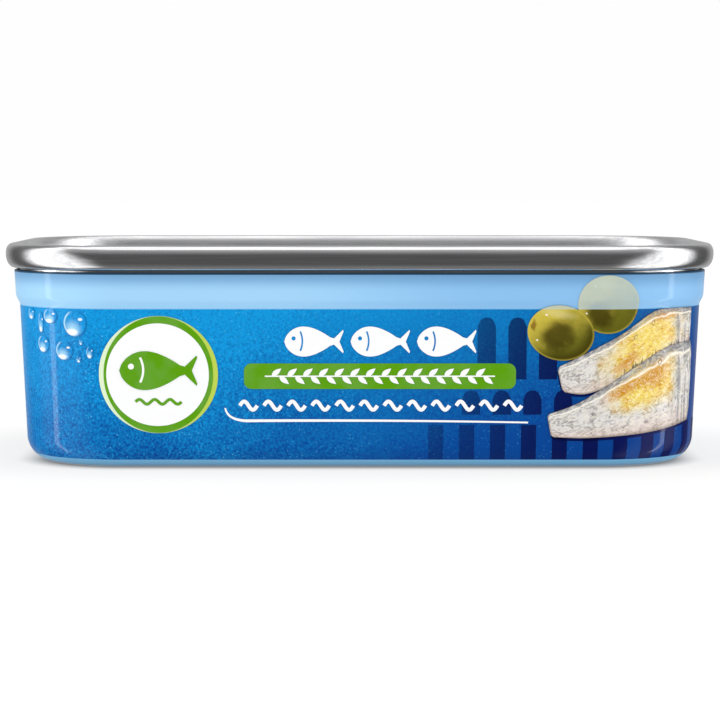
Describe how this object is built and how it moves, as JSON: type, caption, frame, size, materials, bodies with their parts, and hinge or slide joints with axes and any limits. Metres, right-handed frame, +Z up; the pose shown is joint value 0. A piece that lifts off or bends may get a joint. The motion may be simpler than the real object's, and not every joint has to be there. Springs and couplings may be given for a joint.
{
  "type": "sardine tin",
  "caption": "Shut rectangular sardine tin with round corners, a stepped collar, a printed wall, a seamed metal lid with a sunk panel and a ring pull tab.",
  "frame": {"origin": "middle of the tin's footprint, on the surface that it stands on", "axes": "+X along the tin's length towards the end with the pull tab's rivet, -Y out of the printed front, +Z up"},
  "size_m": [0.105, 0.06, 0.0322],
  "materials": {
    "printed_lacquer": "glossy printed lacquer, deep blue wall under a pale blue collar",
    "bright_metal": "bare bright metal with a fine rolled grain"
  },
  "bodies": {
    "root": {"can_body": "printed_lacquer", "lid": "bright_metal", "pull_tab": "bright_metal"}
  },
  "joints": []
}
